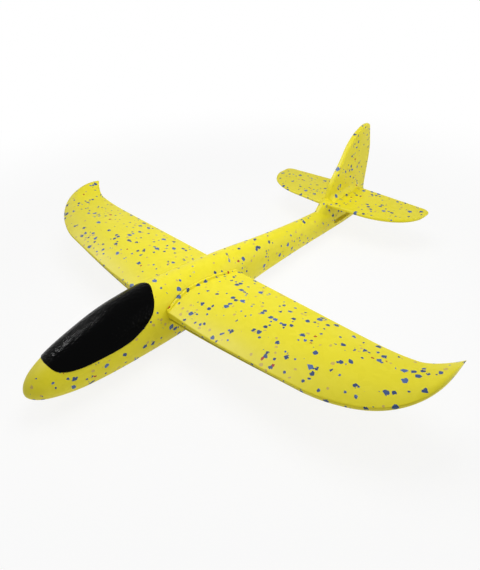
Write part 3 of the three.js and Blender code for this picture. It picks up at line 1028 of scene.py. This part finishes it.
def canopy_finish():
    """Black plastic with a fine pebbled grain: soft cells that stand up in the middle."""
    black = Finish("pebbled black plastic")
    place = black.place()
    pebble = black.cells(place, pebble_scale, feature="SMOOTH_F1")
    fine = black.noise(place, pebble_grain_scale, detail=2)
    cloud = black.noise(place, canopy_cloud_scale, detail=2)
    normal = black.bump(canopy_bump_strength, canopy_bump_depth, 1 - pebble + fine * pebble_grain)
    colour = black.blend(cloud, canopy_dark, canopy_pale)
    rough = black.stretch(cloud, cloud_low, cloud_high, canopy_least_rough, canopy_most_rough)
    return black.finish(Base_Color=colour, Roughness=rough, Normal=normal, Specular_IOR_Level=canopy_gloss)


def steel_finish():
    """Bright drawn steel with fine turning marks across the rod."""
    steel = Finish("drawn steel")
    inputs = {"Vector": steel.place(), "Scale": steel_mark_scale}
    marks = steel.noise(steel.add("ShaderNodeMapping", {}, inputs), 1, detail=3)
    colour = steel.blend(marks, steel_dark, steel_pale)
    rough = steel.stretch(marks, cloud_low, cloud_high, steel_least_rough, steel_most_rough)
    normal = steel.bump(steel_bump_strength, steel_bump_depth, marks)
    return steel.finish(Base_Color=colour, Roughness=rough, Normal=normal, Metallic=1.0)


def floor_finish():
    """A white floor. Where it is seen it is mostly plain white, and wholly so far away, and it keeps the
    object's soft shadow."""
    floor = Finish("white floor")
    floor.finish(Base_Color=floor_white, Roughness=floor_rough)
    away = floor.add("ShaderNodeVectorMath", {"operation": "LENGTH"}, {0: floor.place()}, "Value")
    share = floor.stretch(away, glow_start, glow_end, glow_least, 1, "SMOOTHSTEP")
    glow = floor.add("ShaderNodeEmission", {}, {"Color": white, "Strength": 1})
    lit = Sums(floor, floor.shader.outputs[0])
    mixed = floor.add("ShaderNodeMixShader", {}, {0: floor.seen() * share, 1: lit, 2: glow})
    floor.feed(floor.nodes["Material Output"].inputs["Surface"], mixed)
    return floor.material


# Pieces
def dress(piece, material, body, slot, *nodes):
    """Gives a piece its finish and its place on a body, and lets it stand for CAD nodes."""
    smooth_faces(piece)
    piece.data.materials.clear()
    piece.data.materials.append(material)
    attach(piece, body)
    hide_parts(*nodes)


def mirrored(rings):
    """The same skin on the other side of the glider."""
    return rings * np.array([-1, 1, 1])


def make_fuselage(foam):
    """The body with its fin, less the seat of the wings, the recess of the canopy and both tail slots."""
    body = skin("fuselage_skin", fuselage_rings())
    seat = wing_slot_rings()
    inner = -canopy_thickness - seat_clearance
    tools = [
        skin("wing_slot_0", seat),
        skin("wing_slot_1", mirrored(seat)),
        skin("canopy_recess", canopy_rings(seat_clearance, overrun, inner, 0)),
        tail_slot("tail_slot", 0, tail_height, seat_clearance),
        tail_slot("spare_slot", spare_slot_setback, tail_middle, spare_slot_slack),
    ]
    combine(body, tools, "DIFFERENCE")
    dress(body, foam, "body", "yellow_foam", "fuselage")


def make_wings(foam):
    """Both wings: a panel with its rib, joined to its tongue."""
    panel, tongue = wing_panel_rings(), wing_tongue_rings()
    for name, turned in (("left_wing", np.copy), ("right_wing", mirrored)):
        wing = skin(name + "_panel", turned(panel))
        combine(wing, [skin(name + "_tongue", turned(tongue))], "UNION")
        # Marks where painted shade darkens the leading edge's groove
        mark_painted_groove_shade(wing)
        dress(wing, foam, name, "yellow_foam", name)


def mark_painted_groove_shade(wing):
    """Stores at each point of a wing how far into the leading edge's groove it lies, as the mask of the
    painted shade in that groove.
    """
    points = np.empty(len(wing.data.vertices) * 3)
    wing.data.vertices.foreach_get("co", points)
    x, y, z = points.reshape(-1, 3).T
    x = np.abs(x)
    in_front = y < nose_y + wing_lead(x) + root_chord * wing_nose_share + groove_depth
    depth = in_groove(wing_lift(0, x) - z, x) * in_front
    wing.data.attributes.new("groove", "FLOAT", "POINT").data.foreach_set("value", depth)


def make_tailplane(foam):
    """The tailplane, one panel that passes through the tail."""
    dress(skin("tailplane_panel", tailplane_rings()), foam, "tailplane", "yellow_foam", "tailplane")


def make_canopy(black):
    """The canopy, a shell that stands a little proud of the body."""
    shell = skin("canopy_shell", canopy_rings(0, canopy_proud, -canopy_thickness, canopy_edge_drop))
    dress(shell, black, "body", "canopy_black", "canopy")


def finish_weight(steel):
    """The steel rod is the CAD node itself."""
    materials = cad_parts["nose_weight"].data.materials
    materials.clear()
    materials.append(steel)


# Floor, light and camera
floor_size = 14
floor_drop = 0.0004
room_light = 0.35

# Each lamp: place, size and watts
overhead = ((0, -0.01, 0.41), 0.3, 0.93)
left_side = ((1, 0.85, 0.4), 0.7, 3.8)
glints = ((-0.66, -0.38, 0.82), 0.05, 8)
lamp_target = (0, 0, 0.03)

# The photograph's view: the eye, the direction back to it in degrees, the roll, and the lens
eye = (0.28007, -0.2800, 0.28883)
azimuth = math.radians(45.47749)
elevation = math.radians(36.24513)
roll = math.radians(-2.06588)
focal_pixels = 435.2145
frame_height = 570
sensor = 36
clip_start = 0.01


def make_floor():
    """A floor just under the belly."""
    bpy.ops.mesh.primitive_plane_add(size=floor_size, location=(0, 0, -floor_drop))
    floor = bpy.context.active_object
    floor.name = "floor"
    floor.data.materials.append(floor_finish())


def make_lamp(name, place, size, watts):
    """A round lamp that faces the glider."""
    data = bpy.data.lights.new(name, "AREA")
    data.shape = "DISK"
    data.size = size
    data.energy = watts
    lamp = bpy.data.objects.new(name, data)
    lamp.location = place
    lamp.rotation_mode = "QUATERNION"
    lamp.rotation_quaternion = (lamp.location - Vector(lamp_target)).to_track_quat("Z", "Y")
    bpy.context.scene.collection.objects.link(lamp)
    return lamp


def make_light():
    """A dim white room that looks white where it is seen, a lamp overhead that gloss doesn't show, one at
    the left, and one that only gloss shows, for the canopy's glints."""
    world = bpy.data.worlds.new("soft room")
    world.use_nodes = True
    room = Nodes(world.node_tree)
    light = room.add("ShaderNodeBackground", {}, {"Color": white, "Strength": room_light})
    backdrop = room.add("ShaderNodeBackground", {}, {"Color": white, "Strength": 1})
    mixed = room.add("ShaderNodeMixShader", {}, {0: room.seen(), 1: light, 2: backdrop})
    room.feed(room.nodes["World Output"].inputs["Surface"], mixed)
    bpy.context.scene.world = world
    make_lamp("overhead lamp", *overhead).visible_glossy = False
    make_lamp("left lamp", *left_side)
    make_lamp("lamp for the canopy's glints", *glints).visible_diffuse = False


def make_camera():
    """A camera at the photograph's eye, turned by its azimuth and elevation and then rolled."""
    level = np.array([math.cos(azimuth), math.sin(azimuth), 0])
    toward = np.array([-math.sin(azimuth), math.cos(azimuth), 0])
    upright = toward * math.sin(elevation) + np.array([0, 0, math.cos(elevation)])
    right = math.cos(roll) * level + math.sin(roll) * upright
    up = math.cos(roll) * upright - math.sin(roll) * level
    back = np.cross(level, upright)
    data = bpy.data.cameras.new("photo camera")
    data.sensor_width = sensor
    data.lens = focal_pixels * sensor / frame_height
    data.clip_start = clip_start
    camera = bpy.data.objects.new("photo camera", data)
    camera.matrix_world = Matrix.Translation(eye) @ Matrix(np.array([right, up, back]).T).to_4x4()
    bpy.context.scene.collection.objects.link(camera)
    bpy.context.scene.camera = camera


# The glider
foam = foam_finish()
make_fuselage(foam)
make_wings(foam)
make_tailplane(foam)
make_canopy(canopy_finish())
finish_weight(steel_finish())
make_floor()
make_light()
make_camera()
bpy.context.scene.view_settings.view_transform = "Standard"
